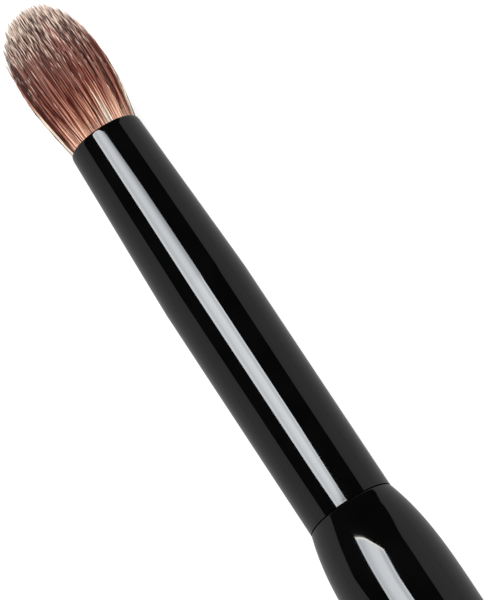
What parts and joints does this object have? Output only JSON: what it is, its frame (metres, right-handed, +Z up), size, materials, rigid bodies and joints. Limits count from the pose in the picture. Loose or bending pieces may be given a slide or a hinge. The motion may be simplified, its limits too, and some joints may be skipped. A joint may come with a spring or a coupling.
{
  "type": "powder brush",
  "caption": "Small face powder brush with a tapered two-tone tuft, a long gloss-black ferrule and a gloss-black handle that swells behind it.",
  "frame": {"origin": "centre of the small flat at the end of the handle, on the brush's long axis", "axes": "+X along the brush from the handle to the tips of the bristles, +Z up with the brush lying down, +Y to the left when looking along +X"},
  "size_m": [0.1891, 0.0194, 0.0194],
  "materials": {
    "black_lacquered_wood": "gloss",
    "black_lacquered_brass": "gloss",
    "dyed_fibre": "satin",
    "undyed_fibre": "satin",
    "set_adhesive": "satin",
    "cast_epoxy": "gloss",
    "cotton_thread": "matte"
  },
  "bodies": {
    "root": {"handle": "black_lacquered_wood", "ferrule": "black_lacquered_brass", "tenon_adhesive_rear": "set_adhesive", "tenon_adhesive_front": "set_adhesive", "root_resin": "cast_epoxy", "root_tie_thread": "cotton_thread", "bristle_core": "dyed_fibre", "bristle_middle": "dyed_fibre", "bristle_outer_1": "dyed_fibre", "bristle_outer_2": "dyed_fibre", "bristle_outer_3": "dyed_fibre", "undyed_lock_left": "undyed_fibre", "undyed_lock_front": "undyed_fibre", "undyed_lock_right": "undyed_fibre"}
  },
  "joints": []
}
